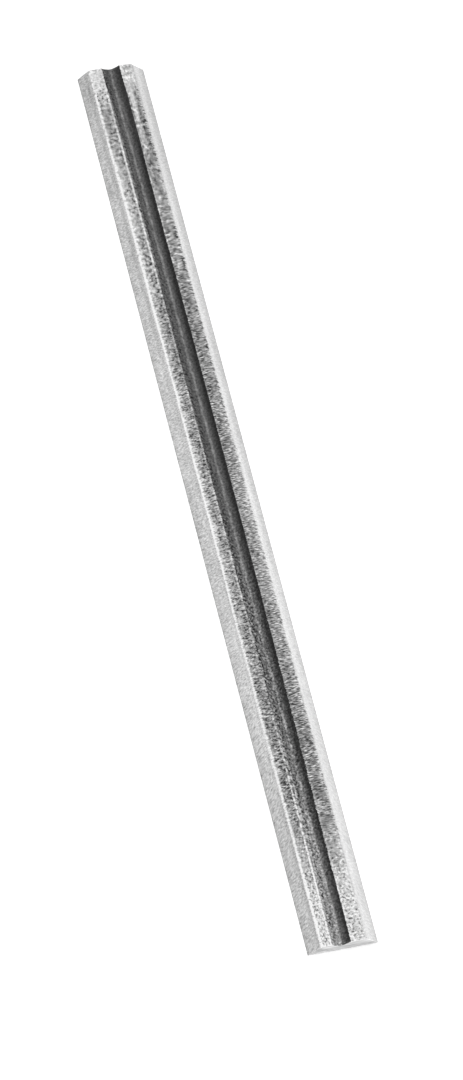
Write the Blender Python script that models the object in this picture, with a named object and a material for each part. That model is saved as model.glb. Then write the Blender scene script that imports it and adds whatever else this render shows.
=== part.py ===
"""Reversible planer knife: a thin bar of tungsten carbide with two cutting edges.

The back face, the two long bevels and the ends are ground straight. The narrow upper
face is left as it was pressed and sintered: two lands, broken at their outer edges,
with a locating groove between them that sintering has bowed slightly sideways.
X runs along the knife, Y across it and Z up from the back face. Lengths are in metres.
"""
import math

import bmesh
import bpy

# Ground form
LENGTH = 0.0820
WIDTH = 0.0055
THICKNESS = 0.0011
BEVEL_ANGLE = math.radians(48.0)

# Broken edge between each bevel and its land
SHOULDER_WIDTH = 0.00022
SHOULDER_DROP = 0.00007

# Locating groove
GROOVE_WIDTH = 0.00145
GROOVE_DEPTH = 0.00038
GROOVE_FLOOR = 0.00010
FLANK_RADIUS = 0.0015
LIP_RADIUS = 0.00008

# Sideways bow of the groove
BOW_RADIUS = 5.3
BOW_MIDDLE = 0.008
BOW_OFFSET = -0.000045

# Wear at the ends
END_ROUND = 0.00010
WORN_CORNER = 0.00020

# Facets
SPANS_ALONG = 12
END_STEPS = 4
SHOULDER_STEPS = 4
LIP_STEPS = 3
FLANK_STEPS = 8
SHARP_ANGLE = math.radians(20.0)
FLAT_ANGLE = math.radians(0.5)


def arc(centre, radius, start, end, steps):
    """Points on a circle from one angle to another, both ends included."""
    turns = [start + (end - start) * i / steps for i in range(steps + 1)]
    return [(centre[0] + radius * math.cos(a), centre[1] + radius * math.sin(a)) for a in turns]


def fall_back(distance, radius):
    """How far a corner rounded to a radius lies back, at a distance from its end."""
    if distance >= radius:
        return 0.0
    return radius - math.sqrt(radius**2 - (radius - distance) ** 2)


def groove_half(height):
    """One side of the groove, from its floor out to its land, measured from its middle."""
    floor = (GROOVE_FLOOR / 2, height - GROOVE_DEPTH)
    mouth = (GROOVE_WIDTH / 2, height)
    chord = math.dist(floor, mouth)
    lean = math.atan2(mouth[1] - floor[1], mouth[0] - floor[0])
    reach = math.sqrt(FLANK_RADIUS**2 - (chord / 2) ** 2)
    centre = (
        (floor[0] + mouth[0]) / 2 - reach * math.sin(lean),
        (floor[1] + mouth[1]) / 2 + reach * math.cos(lean),
    )
    # The lip's circle touches the land from below and the flank's circle from outside
    lip_z = height - LIP_RADIUS
    apart = FLANK_RADIUS + LIP_RADIUS
    lip = (centre[0] + math.sqrt(apart**2 - (lip_z - centre[1]) ** 2), lip_z)
    touch = math.atan2(lip[1] - centre[1], lip[0] - centre[0])
    foot = math.atan2(floor[1] - centre[1], floor[0] - centre[0])
    flank = arc(centre, FLANK_RADIUS, foot, touch, FLANK_STEPS)
    rounded = arc(lip, LIP_RADIUS, touch + math.pi, math.pi / 2, LIP_STEPS)
    return flank + rounded[1:]


def ground_half(height, inset):
    """One side of the ground form, from its land out to its cutting edge."""
    half_width = WIDTH / 2 - inset
    bevel_z = height - SHOULDER_DROP
    bevel_y = half_width - bevel_z / math.tan(BEVEL_ANGLE)
    radius = (SHOULDER_WIDTH**2 + SHOULDER_DROP**2) / (2 * SHOULDER_DROP)
    centre = (bevel_y - SHOULDER_WIDTH, height - radius)
    roll = math.asin(SHOULDER_WIDTH / radius)
    shoulder = arc(centre, radius, math.pi / 2, math.pi / 2 - roll, SHOULDER_STEPS)
    return shoulder + [(half_width, 0.0)]


def section(x):
    """The knife's outline at one place along it, from the +Y cutting edge to the -Y one."""
    height = THICKNESS - fall_back(LENGTH / 2 - abs(x), END_ROUND)
    inset = max(0.0, WORN_CORNER - (LENGTH / 2 - x))
    bow = BOW_OFFSET + (x - BOW_MIDDLE) ** 2 / (2 * BOW_RADIUS)
    groove = groove_half(height)
    left = [(bow + y, z) for y, z in groove] + ground_half(height, 0.0)
    right = [(bow - y, z) for y, z in groove] + [(-y, z) for y, z in ground_half(height, inset)]
    return left[::-1] + right


def stations():
    """Places along the knife: even spans, and closer ones where the ends are worn."""
    rounded = {END_ROUND * (1 - math.sin(math.pi / 2 * i / END_STEPS)) for i in range(END_STEPS + 1)}
    worn = rounded | {WORN_CORNER}
    start = max(rounded) - LENGTH / 2
    span = (LENGTH - max(rounded) - max(worn)) / SPANS_ALONG
    middle = {start + span * i for i in range(1, SPANS_ALONG)}
    return sorted({x - LENGTH / 2 for x in rounded} | middle | {LENGTH / 2 - x for x in worn})


def make_knife():
    """Loft the section along the knife and close both ends."""
    mesh = bmesh.new()
    rings = [[mesh.verts.new((x, y, z)) for y, z in section(x)] for x in stations()]
    for ring, following in zip(rings, rings[1:]):
        for i in range(len(ring)):
            j = (i + 1) % len(ring)
            mesh.faces.new((ring[i], ring[j], following[j], following[i]))
    mesh.faces.new(rings[0][::-1])
    mesh.faces.new(rings[-1])
    bmesh.ops.recalc_face_normals(mesh, faces=mesh.faces)
    # Each land and ground face is one flat face from end to end
    outer = SHOULDER_STEPS + 2
    ground = [vert for ring in rings for vert in ring[:outer] + ring[-outer:]]
    edges = list({edge for vert in ground for edge in vert.link_edges})
    bmesh.ops.dissolve_limit(mesh, angle_limit=FLAT_ANGLE, verts=ground, edges=edges)
    data = bpy.data.meshes.new("knife")
    mesh.to_mesh(data)
    mesh.free()
    data.shade_smooth()
    data.set_sharp_from_angle(angle=SHARP_ANGLE)
    knife = bpy.data.objects.new("knife", data)
    bpy.context.scene.collection.objects.link(knife)
    return knife


def carbide():
    """Ground tungsten carbide: a cool grey metal with a satin shine."""
    material = bpy.data.materials.new("carbide")
    material.use_nodes = True
    shader = material.node_tree.nodes["Principled BSDF"]
    shader.inputs["Base Color"].default_value = (0.50, 0.50, 0.51, 1.0)
    shader.inputs["Metallic"].default_value = 1.0
    shader.inputs["Roughness"].default_value = 0.38
    return material


for old in list(bpy.data.objects):
    bpy.data.objects.remove(old, do_unlink=True)

make_knife().data.materials.append(carbide())
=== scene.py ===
import math
from functools import partial
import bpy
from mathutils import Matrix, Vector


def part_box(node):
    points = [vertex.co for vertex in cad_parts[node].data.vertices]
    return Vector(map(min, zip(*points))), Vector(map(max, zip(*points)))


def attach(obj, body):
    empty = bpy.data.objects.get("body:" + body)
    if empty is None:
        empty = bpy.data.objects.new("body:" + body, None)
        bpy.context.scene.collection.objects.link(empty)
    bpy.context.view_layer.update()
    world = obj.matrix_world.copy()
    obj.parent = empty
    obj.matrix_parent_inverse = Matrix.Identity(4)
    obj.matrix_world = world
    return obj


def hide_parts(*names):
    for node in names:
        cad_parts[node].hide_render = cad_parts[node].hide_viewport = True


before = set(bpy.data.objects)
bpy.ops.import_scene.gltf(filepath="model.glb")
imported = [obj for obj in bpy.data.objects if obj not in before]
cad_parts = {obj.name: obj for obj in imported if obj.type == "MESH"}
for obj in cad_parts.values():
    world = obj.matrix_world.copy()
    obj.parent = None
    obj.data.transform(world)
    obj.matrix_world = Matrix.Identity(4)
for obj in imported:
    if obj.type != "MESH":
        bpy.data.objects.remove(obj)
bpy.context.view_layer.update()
from types import SimpleNamespace

import bpy
from mathutils import Matrix, Vector

# The knife is one bar of sintered tungsten carbide. Its back, bevels and ends are ground
# straight after sintering, and its narrow face keeps the lands and the locating groove
# that the press gave it, bowed a little sideways by the furnace.
low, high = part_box("knife")
LENGTH = high.x - low.x
WIDTH = high.y - low.y
THICKNESS = high.z - low.z
BEVEL_ANGLE = math.radians(48)
SHOULDER_WIDTH, SHOULDER_DROP = 0.00022, 0.00007
GROOVE_WIDTH, GROOVE_DEPTH, GROOVE_FLOOR = 0.00145, 0.00038, 0.00010
FLANK_RADIUS, LIP_RADIUS = 0.0015, 0.00008
BOW_RADIUS, BOW_MIDDLE, BOW_OFFSET = 5.3, 0.008, -0.000045
END_ROUND, WORN_CORNER = 0.00010, 0.00020
LAND_FLARE, FLARE_STARTS, FLARE_FULL = 0.00009, 0.62, 0.86
RELIEF_DEPTH = 0.00002
SHARP_ANGLE = math.radians(24)
STATIONS = 1060
FLANK_STEPS, LIP_STEPS, LAND_STEPS = 9, 4, 11
SHOULDER_STEPS, BEVEL_STEPS, BACK_STEPS = 4, 5, 5


def arc(centre, radius, start, end, steps):
    """Points round an arc, both ends included."""
    turns = [start + (end - start) * i / steps for i in range(steps + 1)]
    return [(centre[0] + radius * math.cos(a), centre[1] + radius * math.sin(a)) for a in turns]


def between(first, last, steps):
    """Points on a straight stretch, without its two ends."""
    return [
        (first[0] + (last[0] - first[0]) * i / steps, first[1] + (last[1] - first[1]) * i / steps)
        for i in range(1, steps)
    ]


def half_section():
    """One side of the section, from the middle of the groove's floor to the cutting edge."""
    floor = (GROOVE_FLOOR / 2, THICKNESS - GROOVE_DEPTH)
    mouth = (GROOVE_WIDTH / 2, THICKNESS)
    chord = math.dist(floor, mouth)
    lean = math.atan2(mouth[1] - floor[1], mouth[0] - floor[0])
    reach = math.sqrt(FLANK_RADIUS**2 - (chord / 2) ** 2)
    hub = (
        (floor[0] + mouth[0]) / 2 - reach * math.sin(lean),
        (floor[1] + mouth[1]) / 2 + reach * math.cos(lean),
    )
    # The lip's circle touches the land from below and the flank's circle from outside
    lip_z = THICKNESS - LIP_RADIUS
    lip_y = hub[0] + math.sqrt((FLANK_RADIUS + LIP_RADIUS) ** 2 - (lip_z - hub[1]) ** 2)
    touch = math.atan2(lip_z - hub[1], lip_y - hub[0])
    foot = math.atan2(floor[1] - hub[1], floor[0] - hub[0])
    flank = arc(hub, FLANK_RADIUS, foot, touch, FLANK_STEPS)
    lip = arc((lip_y, lip_z), LIP_RADIUS, touch + math.pi, math.pi / 2, LIP_STEPS)
    bevel_z = THICKNESS - SHOULDER_DROP
    bevel_y = WIDTH / 2 - bevel_z / math.tan(BEVEL_ANGLE)
    roll_radius = (SHOULDER_WIDTH**2 + SHOULDER_DROP**2) / (2 * SHOULDER_DROP)
    roll = math.asin(SHOULDER_WIDTH / roll_radius)
    crown = (bevel_y - SHOULDER_WIDTH, THICKNESS - roll_radius)
    shoulder = arc(crown, roll_radius, math.pi / 2, math.pi / 2 - roll, SHOULDER_STEPS)
    land = between(lip[-1], shoulder[0], LAND_STEPS)
    edge = (WIDTH / 2, 0.0)
    bevel = between(shoulder[-1], edge, BEVEL_STEPS)
    return [(0.0, floor[1])] + flank + lip[1:] + land + shoulder + bevel + [edge]


def outline_face():
    """The section as one face across the knife, which the nodes draw out to its length."""
    half = half_section()
    left = half[::-1]
    right = [(-y, z) for y, z in half[1:]]
    back = between(right[-1], left[0], BACK_STEPS)
    points = [(0.0, y, z) for y, z in left + right + back]
    mesh = bpy.data.meshes.new("section")
    mesh.from_pydata(points, [], [range(len(points))])
    return mesh


def feed(tree, socket, term):
    """Give an input a number, or join another node's output to it."""
    if isinstance(term, bpy.types.NodeSocket):
        tree.links.new(term, socket)
    else:
        socket.default_value = term


def add_node(tree, kind, inputs=(), **settings):
    """A node with its settings, and with its inputs fed by name."""
    node = tree.nodes.new(kind)
    for name, setting in settings.items():
        setattr(node, name, setting)
    for name, term in dict(inputs).items():
        feed(tree, node.inputs[name], term)
    return node


def calc(tree, operation, *terms):
    """One step of arithmetic."""
    node = add_node(tree, "ShaderNodeMath", operation=operation)
    for socket, term in zip(node.inputs, terms):
        feed(tree, socket, term)
    return node.outputs[0]


def product(tree, first, *others):
    """Several terms multiplied together."""
    for term in others:
        first = calc(tree, "MULTIPLY", first, term)
    return first


def total(tree, first, *others):
    """Several terms added together."""
    for term in others:
        first = calc(tree, "ADD", first, term)
    return first


def clamp(tree, value, least, most):
    """A value held between two others."""
    return calc(tree, "MAXIMUM", calc(tree, "MINIMUM", value, most), least)


def ramp(tree, value, start, end, low=0.0, high=1.0):
    """A soft step that runs from one level to another as a value goes from start to end."""
    ends = {"Value": value, "From Min": start, "From Max": end, "To Min": low, "To Max": high}
    node = add_node(tree, "ShaderNodeMapRange", ends, interpolation_type="SMOOTHSTEP")
    return node.outputs["Result"]


def blend(tree, share, first, second):
    """A level between two, by a share."""
    node = add_node(tree, "ShaderNodeMix")
    sockets = (node.inputs[0], node.inputs[2], node.inputs[3])
    for socket, term in zip(sockets, (share, first, second)):
        feed(tree, socket, term)
    return node.outputs[0]


def vector(tree, x, y, z):
    """A vector from three levels."""
    return add_node(tree, "ShaderNodeCombineXYZ", {"X": x, "Y": y, "Z": z}).outputs[0]


def parts_of(tree, value):
    """The three parts of a vector."""
    return add_node(tree, "ShaderNodeSeparateXYZ", {"Vector": value}).outputs


def noise(tree, x, y, z, detail, roughness=0.5):
    """A cloudy pattern about 0.5 on average, with clouds about one unit across."""
    place = {"Vector": vector(tree, x, y, z)}
    node = add_node(tree, "ShaderNodeTexNoise", place)
    node.inputs["Scale"].default_value = 1.0
    node.inputs["Detail"].default_value = detail
    node.inputs["Roughness"].default_value = roughness
    return node.outputs["Fac"]


def fall_back(tree, gap, radius):
    """How far an edge rounded to a radius lies back, at a gap from where it would have ended."""
    lean = calc(tree, "MAXIMUM", calc(tree, "SUBTRACT", radius, gap), 0.0)
    rest = calc(tree, "SUBTRACT", product(tree, radius, radius), product(tree, lean, lean))
    return calc(tree, "SUBTRACT", radius, calc(tree, "SQRT", calc(tree, "MAXIMUM", rest, 0.0)))


def eased(tree, count):
    """How far along a station lies, in wide spans: the first few spans are much narrower."""
    ease = 4.0
    squares = calc(tree, "MULTIPLY_ADD", count, count, ease**2)
    return calc(tree, "SUBTRACT", calc(tree, "SQRT", squares), ease)


def turned_over(tree, mesh):
    """A mesh with its faces turned to point the other way."""
    return add_node(tree, "GeometryNodeFlipFaces", {"Mesh": mesh}).outputs[0]


def drawn_section(tree, given):
    """A tube of stations by section points, closer together towards the ends of the knife."""
    section = {"Geometry": given["Geometry"]}
    points = add_node(tree, "GeometryNodeAttributeDomainSize", section).outputs["Point Count"]
    columns = total(tree, points, 1)
    size = {"Vertices X": given["Stations"], "Vertices Y": columns}
    grid = add_node(tree, "GeometryNodeMeshGrid", size)
    index = add_node(tree, "GeometryNodeInputIndex").outputs[0]
    station = calc(tree, "FLOOR", calc(tree, "DIVIDE", total(tree, index, 0.5), columns))
    column = calc(tree, "SUBTRACT", index, product(tree, station, columns))
    # The last column lies on the first one, which closes the tube
    kept = calc(tree, "LESS_THAN", column, calc(tree, "SUBTRACT", points, 0.5))
    sample = {
        "Geometry": given["Geometry"],
        "Value": add_node(tree, "GeometryNodeInputPosition").outputs[0],
        "Index": product(tree, column, kept),
    }
    sample = add_node(tree, "GeometryNodeSampleIndex", sample, data_type="FLOAT_VECTOR")
    spot = parts_of(tree, sample.outputs[0])

    half_length = product(tree, given["Length"], 0.5)
    last = calc(tree, "SUBTRACT", given["Stations"], 1)
    from_end = calc(tree, "MINIMUM", station, calc(tree, "SUBTRACT", last, station))
    middle = product(tree, calc(tree, "SUBTRACT", given["Stations"], 2), 0.5)
    span = calc(tree, "DIVIDE", half_length, total(tree, eased(tree, middle), 0.5))
    inward = product(tree, span, eased(tree, from_end))
    side = calc(tree, "MULTIPLY_ADD", calc(tree, "GREATER_THAN", station, middle), 2.0, -1.0)
    x = product(tree, side, calc(tree, "SUBTRACT", half_length, inward))
    place = {"Geometry": grid.outputs["Mesh"], "Position": vector(tree, x, spot["Y"], spot["Z"])}
    tube = add_node(tree, "GeometryNodeSetPosition", place).outputs[0]
    # Drawn in this order, the grid's faces point into the tube
    return turned_over(tree, tube)


def stored(tree, domain, geometry, name, value):
    """The geometry with a value kept under a name on each of its points or faces."""
    keep = {"Geometry": geometry, "Name": name, "Value": value}
    kind = "GeometryNodeStoreNamedAttribute"
    return add_node(tree, kind, keep, data_type="FLOAT", domain=domain).outputs[0]


def closed_bar(tree, given, tube):
    """The tube with an end face welded on at each end, marked for its own finish."""
    weld = 1e-6
    marked = stored(tree, "FACE", given["Geometry"], "on_end", 1.0)
    whole = add_node(tree, "GeometryNodeJoinGeometry")
    for half in (-0.5, 0.5):
        place = vector(tree, product(tree, given["Length"], half), 0.0, 0.0)
        cap = {"Geometry": marked, "Translation": place}
        cap = add_node(tree, "GeometryNodeTransform", cap).outputs[0]
        # The section's face points to the far end, so its copy at the near end is turned over
        if half < 0:
            cap = turned_over(tree, cap)
        tree.links.new(cap, whole.inputs[0])
    tree.links.new(tube, whole.inputs[0])
    welded = {"Geometry": whole.outputs[0], "Distance": weld}
    return add_node(tree, "GeometryNodeMergeByDistance", welded).outputs[0]


def worn_bar(tree, given, bar):
    """The bar with its groove bowed, its upper end edges rounded and one far corner worn off."""
    place = add_node(tree, "GeometryNodeInputPosition").outputs[0]
    x, y, z = parts_of(tree, place)
    half_length = product(tree, given["Length"], 0.5)

    # Place across the knife in millimetres, kept for the finish to follow
    bar = stored(tree, "POINT", bar, "across", product(tree, y, 1000.0))

    # Sideways bow of the groove, fading out over the lands
    run = calc(tree, "SUBTRACT", x, given["Bow middle"])
    twice = product(tree, given["Bow radius"], 2.0)
    bend = calc(tree, "DIVIDE", product(tree, run, run), twice)
    bend = total(tree, bend, given["Bow offset"])
    from_edge = calc(tree, "SUBTRACT", given["Land edge"], calc(tree, "ABSOLUTE", y))
    land_width = calc(tree, "SUBTRACT", given["Land edge"], given["Groove half width"])
    share = clamp(tree, calc(tree, "DIVIDE", from_edge, land_width), 0.0, 1.0)
    height = calc(tree, "DIVIDE", z, given["Top"])
    bend = product(tree, bend, share, calc(tree, "GREATER_THAN", height, 0.5))

    # Far end: its right corner is worn round, and its left land runs a little wide
    beyond = calc(tree, "SUBTRACT", 1.0, share)
    corner = fall_back(tree, calc(tree, "SUBTRACT", half_length, x), given["Worn corner"])
    corner = product(tree, corner, beyond, calc(tree, "LESS_THAN", y, 0.0))
    flare = product(tree, given["Flare"], beyond, calc(tree, "GREATER_THAN", y, 0.0), height)
    starts = product(tree, half_length, FLARE_STARTS)
    full = product(tree, half_length, FLARE_FULL)
    flare = product(tree, flare, ramp(tree, x, starts, full))

    # Rounded upper edge at each end, less so in the groove
    less_round = -0.6
    gap = calc(tree, "SUBTRACT", half_length, calc(tree, "ABSOLUTE", x))
    rounding = total(tree, 1.0, product(tree, share, less_round))
    radius = product(tree, given["End round"], rounding)
    sunk = product(tree, fall_back(tree, gap, radius), height, -1.0)

    shift = vector(tree, 0.0, total(tree, bend, corner, flare), sunk)
    return add_node(tree, "GeometryNodeSetPosition", {"Geometry": bar, "Offset": shift}).outputs[0]


def pressed_bar(tree, given, bar):
    """The bar with the fine relief of its pressed face."""
    hills_along, hills_across, flush = 4500.0, 3000.0, 0.62
    place = add_node(tree, "GeometryNodeInputPosition").outputs[0]
    x, y, z = parts_of(tree, place)
    hills = (product(tree, x, hills_along), product(tree, y, hills_across), 0.0)
    depth = calc(tree, "SUBTRACT", noise(tree, *hills, 1.0), flush)
    depth = product(tree, depth, given["Relief"])
    within = product(tree, given["Land edge"], 0.9)
    inside = ramp(tree, calc(tree, "ABSOLUTE", y), given["Land edge"], within)
    top = calc(tree, "GREATER_THAN", z, product(tree, given["Top"], 0.6))
    rise = vector(tree, 0.0, 0.0, product(tree, depth, inside, top))
    return add_node(tree, "GeometryNodeSetPosition", {"Geometry": bar, "Offset": rise}).outputs[0]


def drawing_tree():
    """Draws the section out along the knife, bows the groove, wears the ends and adds relief."""
    tree = bpy.data.node_groups.new("draw out the knife", "GeometryNodeTree")
    panel = tree.interface
    panel.new_socket("Geometry", in_out="INPUT", socket_type="NodeSocketGeometry")
    panel.new_socket("Geometry", in_out="OUTPUT", socket_type="NodeSocketGeometry")
    lengths = (
        "Length", "Top", "Land edge", "Groove half width", "Bow radius", "Bow middle",
        "Bow offset", "End round", "Worn corner", "Flare", "Relief",
    )
    for name in lengths:
        panel.new_socket(name, in_out="INPUT", socket_type="NodeSocketFloat")
    panel.new_socket("Stations", in_out="INPUT", socket_type="NodeSocketInt")
    panel.new_socket("Finish", in_out="INPUT", socket_type="NodeSocketMaterial")
    given = add_node(tree, "NodeGroupInput").outputs
    bar = closed_bar(tree, given, drawn_section(tree, given))
    bar = pressed_bar(tree, given, worn_bar(tree, given, bar))
    painted = {"Geometry": bar, "Material": given["Finish"]}
    painted = add_node(tree, "GeometryNodeSetMaterial", painted)
    real = {"Geometry": painted.outputs[0]}
    real = add_node(tree, "GeometryNodeRealizeInstances", real)
    add_node(tree, "NodeGroupOutput", {"Geometry": real.outputs[0]})
    return tree


# Over this narrow strip, in millimetres, the right side's levels give way to the left side's
LEFT = (-0.05, 0.05)


def surface(tree):
    """Where a point lies on the knife, and soft steps along it, over it and up it.

    Places are in millimetres from the middle of the back face. Levels by side are given for
    the right side first, as the knife is seen from its near end.
    """
    spot = parts_of(tree, add_node(tree, "ShaderNodeTexCoord").outputs["Object"])
    x, z = product(tree, spot["X"], 1000.0), product(tree, spot["Z"], 1000.0)
    across, on_end = (
        add_node(tree, "ShaderNodeAttribute", attribute_name=name).outputs["Fac"]
        for name in ("across", "on_end")
    )
    left = ramp(tree, across, *LEFT)
    return SimpleNamespace(
        x=x, z=z, across=across, left=left,
        outward=calc(tree, "ABSOLUTE", across),
        off_end=calc(tree, "SUBTRACT", 1.0, on_end), on_end=on_end,
        along=partial(ramp, tree, x),
        over=partial(ramp, tree, across),
        up=partial(ramp, tree, z),
        by_side=partial(blend, tree, left),
    )


def clouds(tree, at, along, over, layer, detail, roughness=0.5):
    """A cloudy pattern with so many clouds to a millimetre along the knife and over it."""
    x, y = product(tree, at.x, along), product(tree, at.across, over)
    return noise(tree, x, y, layer, detail, roughness)


def pressed_grain(tree, at):
    """Grain of the pressed skin: drawn out across the knife, and coarser towards its ends."""
    slope = product(tree, at.across, at.by_side(0.6, 1.6))
    leaning = total(tree, product(tree, at.x, at.by_side(11.0, 8.5)), slope)
    fine = noise(tree, leaning, product(tree, at.across, at.by_side(2.7, 4.6)), 0.0, 2.0, 0.65)
    ripple = clouds(tree, at, at.by_side(9.5, 5.6), at.by_side(2.4, 1.8), 4.0, 1.0)
    far_half = at.along(0.0, 8.0)
    finer_along = product(tree, far_half, at.by_side(0.6, -0.4))
    drawn_out = at.by_side(at.along(26.0, 33.0, -2.5, -0.6), -1.0)
    finer_over = product(tree, far_half, drawn_out)
    last = calc(tree, "MAXIMUM", calc(tree, "SUBTRACT", at.x, 27.0), 0.0)
    last = product(tree, last, at.by_side(-1.5, 0.0))
    blobs_along = total(tree, product(tree, at.x, total(tree, 4.0, finer_along)), last)
    blobs_over = product(tree, at.across, total(tree, 4.6, finer_over))
    blobs = noise(tree, blobs_along, blobs_over, 2.0, 1.5)
    far, near = at.along(8.0, 28.0, 0.0, 0.9), at.along(-28.0, -38.0, 0.0, 0.7)
    grain = blend(tree, calc(tree, "MAXIMUM", far, near), blend(tree, 0.4, fine, ripple), blobs)
    return blend(tree, 0.12, grain, clouds(tree, at, 0.7, 1.1, 9.0, 1.0))


def mottle(tree, at, grain):
    """How the grain lightens and darkens the lands, more in some places than in others."""
    right = total(
        tree,
        at.along(20.0, 28.0, at.along(6.0, 14.0, 3.2, 3.5), 1.7),
        at.along(-30.0, -37.0, 0.0, -0.8),
    )
    left = total(
        tree,
        at.along(17.0, 28.0, 3.2, 1.9),
        at.along(31.0, 35.0, 0.0, -0.3),
        at.along(-30.0, -38.0, 0.0, -0.9),
    )
    level = product(tree, calc(tree, "SUBTRACT", grain, 0.5), at.by_side(right, left))
    patches = ramp(tree, clouds(tree, at, 0.9, 1.3, 15.0, 1.0), 0.38, 0.56, 0.6, 1.15)
    outer = ramp(tree, calc(tree, "ABSOLUTE", at.x), 18.0, 28.0)
    calm = product(tree, at.over(-1.10, -1.30), at.over(-1.65, -1.50))
    calm = product(tree, calm, at.along(6.0, 9.0), at.along(35.0, 32.0))
    calm = ramp(tree, calm, 0.0, 1.0, 1.0, 0.7)
    level = product(tree, level, blend(tree, outer, 1.0, patches), calm)
    beside_bevel = total(tree, at.along(5.0, 10.0, 1.4, 1.1), at.along(30.0, 34.0, 0.0, -0.3))
    level = product(tree, level, at.over(-1.50, -1.70, 1.0, beside_bevel))
    return total(tree, level, product(tree, level, level, at.by_side(0.9, 0.0)))


def lighter_land_ends(tree, at):
    """The lands' two ends, lighter but for pits that stay dark."""
    starts, full = at.by_side(38.0, 36.0), at.by_side(39.5, 38.5)
    lightened = total(tree, at.along(-30.5, -37.5), at.along(starts, full, 0.0, 0.9))
    pits = ramp(tree, clouds(tree, at, 6.0, 6.0, 6.0, 1.0), 0.50, 0.32, 0.05, -0.42)
    deeper = product(tree, at.left, at.along(37.0, 37.8), at.along(39.3, 38.9), 0.6)
    pits = product(tree, pits, total(tree, at.along(-30.0, 30.0, 1.0, 0.4), deeper))
    return product(tree, lightened, total(tree, pits, 0.34))


# Touches that lighten or darken the lands, the left one's first, a painted highlight along the
# left shoulder among them. Each has how much it adds, then its soft borders across the knife and
# those along it, in millimetres. A border starts at one place and is full at the next, and can
# have its own two levels after them.
INNER_LEFT = (1.30, 1.00)
INNER_RIGHT = ((-0.80, -0.92), (-1.35, -1.20))
LAND_TOUCHES = (
    (0.220, [(1.05, 1.60)], [(-14.0, -4.0, 0.2, 1.0)]),
    (-0.187, [(1.05, 1.60)], [(30.0, 35.0)]),
    # A painted highlight along the left land's outer edge and shoulder, weaker at the far end
    (1.000, [(1.52, 1.72)], [(37.5, 39.5, 0.50, 0.12)]),
    (0.120, [(1.42, 1.60)], [(-12.0, -5.0), (20.0, 14.0)]),
    (-0.070, [(1.58, 1.66)], [(16.0, 22.0), (34.0, 31.0)]),
    (-0.100, [(1.55, 1.65)], [(38.8, 39.2), (40.2, 39.8)]),
    (-0.070, [(1.34, 1.44), (1.68, 1.58)], [(37.6, 38.1), (39.1, 38.7)]),
    (-0.070, [(1.12, 1.25)], [(36.5, 37.2), (39.0, 38.4)]),
    (-0.050, [(1.10, 1.30)], [(4.0, 8.0), (18.0, 15.0)]),
    (0.050, [(0.95, 1.10)], [(33.0, 34.0), (36.8, 36.0)]),
    (0.090, [(0.92, 1.06)], [(38.7, 39.3)]),
    (0.050, [LEFT], [(15.0, 19.0), (36.0, 32.0, -0.6, 1.0)]),
    (-0.070, [LEFT, INNER_LEFT], [(-9.0, -22.0), (-31.0, -26.0)]),
    (-0.030, [LEFT, INNER_LEFT], [(-22.0, -25.0), (-28.5, -26.5)]),
    (0.030, [LEFT, INNER_LEFT], [(-26.0, -30.0), (-36.0, -33.0)]),
    (-0.040, [LEFT, INNER_LEFT], [(9.0, 13.0), (21.0, 19.0)]),
    (-0.060, [LEFT, INNER_LEFT], [(14.0, 17.0), (21.0, 19.0)]),
    (0.100, [(-1.55, -1.65)], [(38.8, 39.4)]),
    (1.000, [(-1.25, -1.80)], [(10.0, 2.0, -0.02, 0.12)]),
    (0.050, [(-1.20, -1.40)], [(18.0, 20.5), (27.5, 25.5)]),
    (0.028, [(-1.20, -1.35)], [(2.0, 4.5), (19.0, 17.0)]),
    (0.040, [(-1.15, -1.35)], [(26.0, 29.0)]),
    (0.040, [(-1.15, -1.35)], [(-30.0, -33.0), (-39.0, -36.0)]),
    (-0.080, [(-1.15, -1.25), (-1.60, -1.45)], [(39.8, 40.2)]),
    (-0.090, [(-1.05, -1.25)], [(28.0, 34.0), (37.0, 35.5)]),
    (0.055, [(-1.00, -1.20)], [(-11.0, -8.0), (3.0, -2.0)]),
    (0.300, [(-0.85, -1.05), (-1.42, -1.18)], [(30.5, 34.0), (39.0, 38.0)]),
    (0.080, [(-0.82, -0.95), (-1.30, -1.15)], [(35.2, 36.5), (40.4, 39.9)]),
    (-0.042, [(-0.72, -0.85), (-1.28, -1.15)], [(1.0, 4.0), (19.5, 17.5)]),
    (0.050, INNER_RIGHT, [(19.0, 21.0), (24.0, 22.5)]),
    (0.090, INNER_RIGHT, [(25.0, 26.5), (29.5, 28.0)]),
    (-0.045, [(0.1, -0.1)], [(-30.0, -27.0), (-15.0, -19.0)]),
)


def touched(tree, at, level):
    """The lands' level with every touch added, the painted highlight on the left shoulder among
    them.
    """
    for amount, over, along in LAND_TOUCHES:
        borders = [at.over(*places) for places in over] + [at.along(*places) for places in along]
        level = total(tree, level, product(tree, *borders, amount))
    return level


def lip_highlights(tree, at):
    """Painted highlights along the groove's rounded lips, stronger in some stretches."""
    lip = product(tree, ramp(tree, at.outward, 0.62, 0.76), ramp(tree, at.outward, 0.91, 0.81))
    left = total(
        tree,
        at.along(-24.0, -34.0, 0.14, 0.27),
        at.along(16.0, 24.0, 0.0, 0.20),
        at.along(38.0, 39.5, 0.0, -0.26),
        product(tree, at.along(35.8, 36.6), at.along(39.2, 38.4), -0.14),
        product(tree, at.along(-24.0, -20.0), at.along(-11.0, -15.0), -0.07),
    )
    right = total(
        tree,
        at.along(-22.0, -30.0, 0.03, 0.13),
        at.along(20.0, 24.0, 0.0, 0.15),
        at.along(28.5, 31.0, 0.0, -0.07),
    )
    return product(tree, lip, at.by_side(right, left))


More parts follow.
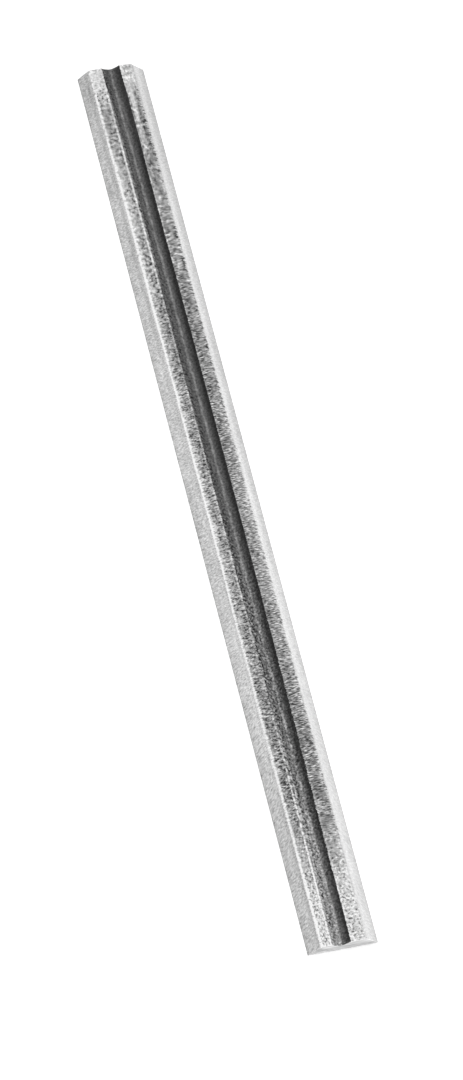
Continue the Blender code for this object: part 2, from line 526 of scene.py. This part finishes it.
def groove_skin(tree, at):
    """Dark skin of the groove, lighter on the near part of its left flank, with a painted
    highlight along its floor and painted shade down its right flank towards the lip.
    """
    from_floor = total(
        tree, at.across,
        at.along(-12.0, -34.0, 0.035, 0.09),
        at.along(30.0, 37.0, 0.0, -0.04),
    )
    left_flank = total(
        tree, 0.14,
        at.along(-3.0, -9.0, 0.0, 0.05),
        at.along(-24.0, -33.0, 0.0, 0.13),
        product(tree, at.over(0.42, 0.66), at.along(-10.0, -34.0, 0.03, 0.21)),
        product(tree, at.over(0.28, 0.40), at.along(-24.0, -31.0), 0.045),
    )
    # Painted shade: the right flank darkens towards its lip, where it turns away from the light
    right_flank_shade = total(
        tree,
        at.over(-0.10, -0.66, 0.13, 0.038),
        at.along(-28.0, -36.0, 0.0, 0.013),
        at.along(30.0, 36.0, 0.0, 0.014),
    )
    skin = blend(tree, ramp(tree, from_floor, -0.10, 0.04), right_flank_shade, left_flank)
    skin = product(tree, skin, at.along(37.5, 39.5, 1.0, 0.84))
    # Painted highlight along the groove's floor, in cloudy patches
    floor_highlight = ramp(tree, clouds(tree, at, 1.5, 2.6, 5.0, 2.0), 0.30, 0.70, 0.02, 0.19)
    floor_highlight = product(tree, floor_highlight, at.along(-20.0, -30.0, 1.0, 0.7))
    floor_highlight = product(tree, ramp(tree, calc(tree, "ABSOLUTE", from_floor), 0.17, 0.00), floor_highlight)
    speck = clouds(tree, at, 5.0, 5.2, 0.0, 2.5, 0.7)
    lines = clouds(tree, at, 0.5, 4.0, 7.0, 1.0)
    speckled = total(
        tree,
        ramp(tree, speck, 0.28, 0.72, -0.75, 0.75),
        ramp(tree, lines, 0.3, 0.7, -0.18, 0.22),
        product(tree, ramp(tree, speck, 0.56, 0.74), at.along(4.0, -4.0, 0.0, 1.1)),
    )
    stronger = product(tree, at.along(0.0, -12.0, 0.75, 1.35), at.along(-33.0, -37.0, 1.0, 0.7))
    stronger = product(tree, stronger, at.by_side(0.75, at.over(0.25, 0.65, 1.0, 1.9)))
    floor_highlight_share = product(tree, floor_highlight, at.along(0.0, -26.0, 0.3, 1.0))
    speckled = product(tree, total(tree, skin, floor_highlight_share), speckled, stronger)
    return total(tree, skin, floor_highlight, speckled)


def wheel_marks(tree, at):
    """Fine marks that the grinding wheel left across the bevels."""
    lean = product(tree, at.z, at.along(-26.0, -6.0, 0.45, -0.20))
    slant = product(tree, calc(tree, "SUBTRACT", at.x, lean), 10.0)
    return noise(tree, slant, product(tree, at.z, 5.0), at.across, 1.0, 0.65)


def ground_metal(tree, at, marks):
    """Ground metal of the bevels and ends, with the wheel's marks, painted shade that darkens the
    bevels towards their cutting edges, and painted light on the end faces.
    """
    cloud = noise(tree, product(tree, at.x, 0.4), product(tree, at.z, 0.6), at.across, 1.0)
    cloudy = at.by_side(0.2, at.along(-30.0, -10.0, 0.12, 0.45))
    scored = product(tree, at.left, at.along(-12.0, -22.0), at.along(-40.0, -34.0, 0.4, 1.0))
    marked = total(
        tree, 1.0,
        product(tree, calc(tree, "SUBTRACT", marks, 0.5), at.by_side(0.8, 1.6)),
        product(tree, calc(tree, "SUBTRACT", cloud, 0.5), cloudy),
        product(tree, ramp(tree, marks, 0.42, 0.24, 0.0, -0.22), scored),
    )
    right = total(tree, at.along(12.0, -10.0, 1.0, 1.07), at.along(16.0, 38.0, 0.0, -0.08))
    # Painted shade: each bevel darker from its ridge down to its cutting edge
    level = product(tree, at.up(0.0, 1.0, 0.54, 0.66), marked)
    level = product(tree, level, at.by_side(right, at.along(22.0, 39.0, 0.98, 0.81)))

    # Duller places: the left bevel's near end and a band on its far half. Painted shade: the lower
    # part of the right bevel's far half, and the last of both cutting edges
    dull = product(tree, at.along(-22.0, -31.0), at.up(0.4, 1.0, 0.05, 0.21))
    drift = calc(tree, "SUBTRACT", at.across, at.along(28.0, 36.0, 0.0, 0.04))
    band = product(tree, ramp(tree, drift, 1.86, 1.98), ramp(tree, drift, 2.26, 2.08))
    band = product(tree, band, at.along(-4.0, 18.0, 0.0, 0.22))
    # Painted shade low on the right bevel's far half
    low = product(tree, at.along(-12.0, 0.0), at.up(0.75, 0.35, -0.04, 0.05))
    dull_and_shade = total(tree, at.by_side(low, total(tree, dull, band)), at.up(0.12, 0.02, 0.0, 0.10))
    level = product(tree, level, calc(tree, "SUBTRACT", 1.0, dull_and_shade))

    # End faces with painted light, lighter towards their bottom and their top, and the rims round
    # them: a painted highlight on the near rim, the far rim darker
    end_right = total(tree, at.up(0.05, 0.30, 0.60, 0.52), at.up(0.35, 0.75, 0.0, 0.10))
    end_left = total(tree, at.up(0.0, 0.45, 0.93, 0.54), at.up(0.6, 0.85, 0.0, 0.12))
    end_left = product(tree, end_left, at.over(1.3, 1.8, 1.0, 0.80))
    end_level = product(tree, blend(tree, at.over(-0.6, 0.6), end_right, end_left), marked)
    rims = total(tree, product(tree, at.near_rim, 0.10), product(tree, at.far_rim, -0.05))
    level = blend(tree, at.on_end, level, end_level)
    return total(tree, level, product(tree, rims, at.off_end))


def groove_share(tree, at, wander):
    """1 in the groove and 0 on the lands, with a ragged border that creeps in and out."""
    frayed = product(tree, at.along(-9.0, -22.0), at.along(-36.0, -31.0), at.by_side(0.15, 0.7))
    ragged = total(tree, at.by_side(0.15, 0.32), frayed)
    ragged = total(tree, at.outward, product(tree, wander, ragged))
    left = total(
        tree,
        at.along(-12.0, -26.0, 0.72, 0.64),
        at.along(-36.0, -40.0, 0.0, -0.04),
        product(tree, at.along(18.0, 21.0), at.along(39.5, 36.5), -0.17),
        product(tree, at.scuffed, -0.09),
    )
    right = total(
        tree,
        at.along(-22.0, -28.0, 0.755, 0.725),
        at.along(-34.0, -38.0, 0.0, 0.03),
        product(tree, at.along(30.0, 34.0), at.along(38.0, 39.5, 0.06, 0.03)),
    )
    return ramp(tree, calc(tree, "SUBTRACT", ragged, at.by_side(right, left)), 0.02, -0.02)


def pressed_share(tree, at, wander):
    """1 on the pressed face and 0 on ground metal, with a toothed border on the right side."""
    teeth = calc(tree, "SUBTRACT", clouds(tree, at, 8.5, 2.0, 8.0, 1.0, 0.6), 0.5)
    reach = total(
        tree,
        at.along(4.0, 8.0, 0.85, 0.60),
        product(tree, at.along(-20.0, -14.0), at.along(8.0, -2.0), 0.25),
        at.along(18.0, 22.0, 0.0, 0.25),
    )
    border = at.by_side(product(tree, teeth, reach), product(tree, wander, 0.25))
    left = total(
        tree,
        product(tree, at.along(-14.0, -6.0), at.along(18.0, 12.0), 1.4),
        product(tree, at.along(-18.0, -21.0), at.along(-30.0, -27.0), -0.6),
    )
    right = total(
        tree,
        at.along(20.0, 36.0, 0.4, 2.6),
        product(tree, at.along(-16.0, -6.0), at.along(24.0, 16.0), -0.7),
        at.along(-22.0, -28.0, 0.0, 0.6),
    )
    drawn_in = product(tree, at.by_side(right, left), 0.05)
    edge = ramp(tree, total(tree, at.outward, border, drawn_in), 1.84, 1.78)
    return product(tree, at.up(0.60, 0.62), edge, at.off_end)


def carbide():
    """Ground metal on bevels, back and ends, pitted skin on the lands, dark skin in the groove,
    with painted shade and painted highlights.
    """
    material = bpy.data.materials.new("carbide")
    material.use_nodes = True
    tree = material.node_tree
    shader = tree.nodes["Principled BSDF"]
    shader.inputs["Metallic"].default_value = 1.0
    at = surface(tree)
    # A painted highlight on the near end's rim, and a darker rim at the far end
    at.near_rim, at.far_rim = at.along(-40.92, -40.97), at.along(40.92, 40.97)
    # The near stretch where the groove's left lip is ragged and carries painted highlights
    at.scuffed = product(tree, at.along(-18.0, -26.0), at.along(-36.0, -31.0))

    # Skin of the lands
    grain = pressed_grain(tree, at)
    land = total(tree, at.by_side(0.30, 0.33), mottle(tree, at, grain), lighter_land_ends(tree, at))
    # The lands' level, with painted highlights along the groove's lips and on the near end's rim
    land = total(
        tree, touched(tree, at, land), lip_highlights(tree, at),
        product(tree, at.near_rim, at.by_side(0.10, 0.30)),
        product(tree, at.far_rim, -0.15),
    )
    land = clamp(tree, land, 0.05, 0.95)

    # Skin of the whole pressed face, with painted highlights in patches on the ragged near stretch
    # of the groove's left lip
    wander = calc(tree, "SUBTRACT", clouds(tree, at, 5.5, 5.0, 3.0, 2.0, 0.6), 0.5)
    in_groove = groove_share(tree, at, wander)
    lip_highlight_patches = ramp(tree, clouds(tree, at, 2.6, 2.6, 2.0, 2.0), 0.42, 0.60, -0.06, 0.52)
    lip_highlight_patches = product(tree, lip_highlight_patches, at.scuffed, at.left, at.along(-24.0, -28.0, 1.0, 1.5))
    lip_highlight_patches = product(tree, lip_highlight_patches, at.over(0.40, 0.54), at.over(0.90, 0.72))
    skin = total(tree, blend(tree, in_groove, land, groove_skin(tree, at)), lip_highlight_patches)
    skin = clamp(tree, skin, 0.03, 0.95)
    skin_rough = blend(tree, in_groove, ramp(tree, land, 0.1, 0.9, 0.55, 0.32), 0.50)

    # Skin and metal together
    metal_rough, relief, marks_height = 0.34, 3.0, 2e-6
    marks = wheel_marks(tree, at)
    pressed = pressed_share(tree, at, wander)
    colour = blend(tree, pressed, ground_metal(tree, at, marks), skin)
    feed(tree, shader.inputs["Base Color"], vector(tree, colour, colour, colour))
    feed(tree, shader.inputs["Roughness"], blend(tree, pressed, metal_rough, skin_rough))
    bump = add_node(tree, "ShaderNodeBump")
    bump.inputs["Strength"].default_value = 1.0
    bump.inputs["Distance"].default_value = marks_height
    feed(tree, bump.inputs["Height"], blend(tree, pressed, marks, product(tree, grain, relief)))
    tree.links.new(bump.outputs[0], shader.inputs["Normal"])
    return material


blank = bpy.data.objects.new("blank", outline_face())
bpy.context.scene.collection.objects.link(blank)
drawing = blank.modifiers.new("draw out", "NODES")
drawing.node_group = drawing_tree()
sizes = {
    "Length": LENGTH,
    "Stations": STATIONS,
    "Top": THICKNESS,
    "Land edge": WIDTH / 2 - (THICKNESS - SHOULDER_DROP) / math.tan(BEVEL_ANGLE) - SHOULDER_WIDTH,
    "Groove half width": GROOVE_WIDTH / 2 + LIP_RADIUS,
    "Bow radius": BOW_RADIUS,
    "Bow middle": BOW_MIDDLE,
    "Bow offset": BOW_OFFSET,
    "End round": END_ROUND,
    "Worn corner": WORN_CORNER,
    "Flare": LAND_FLARE,
    "Relief": RELIEF_DEPTH,
    "Finish": carbide(),
}
for item in drawing.node_group.interface.items_tree:
    if item.in_out == "INPUT" and item.name in sizes:
        drawing[item.identifier] = sizes[item.name]
evaluated = blank.evaluated_get(bpy.context.evaluated_depsgraph_get())
body = bpy.data.meshes.new_from_object(evaluated)
body.name = "planer_knife"
bpy.data.objects.remove(blank)
knife = bpy.data.objects.new("planer_knife", body)
bpy.context.scene.collection.objects.link(knife)
body.shade_smooth()
body.set_sharp_from_angle(angle=SHARP_ANGLE)
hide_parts("knife")
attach(knife, "root")


# The floor is a wide sheet of white card, on which the knife lies and leaves a soft shadow.
FLOOR_SIZE = 6.0
FLOOR_GAP = 0.00001
CARD_COLOUR = 0.8
CARD_AS_SEEN = 1.36


def card():
    """White card: it bounces light as card does, and is pure white to the eye and in metal."""
    material = bpy.data.materials.new("card")
    material.use_nodes = True
    tree = material.node_tree
    shader = tree.nodes["Principled BSDF"]
    shader.inputs["Roughness"].default_value = 0.9
    shader.inputs["Specular IOR Level"].default_value = 0.0
    path = tree.nodes.new("ShaderNodeLightPath")
    seen = calc(tree, "MAXIMUM", path.outputs["Is Camera Ray"], path.outputs["Is Glossy Ray"])
    seen = calc(tree, "MAXIMUM", seen, path.outputs["Is Transmission Ray"])
    white = blend(tree, seen, CARD_COLOUR, CARD_AS_SEEN)
    feed(tree, shader.inputs["Base Color"], vector(tree, white, white, white))
    return material


floor_mesh = bpy.data.meshes.new("floor")
half_floor = FLOOR_SIZE / 2
signs = [(-1, -1), (1, -1), (1, 1), (-1, 1)]
corners = [(half_floor * x, half_floor * y, -FLOOR_GAP) for x, y in signs]
floor_mesh.from_pydata(corners, [], [(0, 1, 2, 3)])
floor_mesh.materials.append(card())
floor = bpy.data.objects.new("floor", floor_mesh)
bpy.context.scene.collection.objects.link(floor)


# The studio's light is one wide soft tent: brightest overhead and at the horizon, where its
# white walls stand, and a little dimmer between.
TENT_DIM, TENT_BRIGHT = 0.75, 1.0


def tent():
    """A world whose light depends only on its direction."""
    world = bpy.data.worlds.new("tent")
    world.use_nodes = True
    tree = world.node_tree
    z = parts_of(tree, tree.nodes.new("ShaderNodeTexCoord").outputs["Generated"])["Z"]
    overhead = ramp(tree, z, 0.15, 0.85)
    horizon = ramp(tree, calc(tree, "ABSOLUTE", z), 0.14, 0.0)
    light = blend(tree, calc(tree, "MAXIMUM", overhead, horizon), TENT_DIM, TENT_BRIGHT)
    feed(tree, tree.nodes["Background"].inputs["Color"], vector(tree, light, light, light))
    return world


bpy.context.scene.world = tent()


# The camera looks down along the knife from above its near end, as the photograph was taken.
# Its place, roll and focal length come from a fit to the knife's corners and outlines.
AIM = Vector((-0.0042, 0.0002, 0.0))
DISTANCE = 0.5062
AZIMUTH = math.radians(163.16)
ELEVATION = math.radians(59.66)
ROLL = math.radians(4.445)
FOCAL, SENSOR = 214.26, 36.0

camera_data = bpy.data.cameras.new("camera")
camera_data.sensor_width = SENSOR
camera_data.lens = FOCAL
camera = bpy.data.objects.new("camera", camera_data)
level = math.cos(ELEVATION)
back = Vector((level * math.cos(AZIMUTH), level * math.sin(AZIMUTH), math.sin(ELEVATION)))
turn = back.to_track_quat("Z", "Y").to_matrix() @ Matrix.Rotation(ROLL, 3, "Z")
camera.matrix_world = Matrix.Translation(AIM + back * DISTANCE) @ turn.to_4x4()
bpy.context.scene.collection.objects.link(camera)
bpy.context.scene.camera = camera
bpy.context.scene.view_settings.view_transform = "Standard"
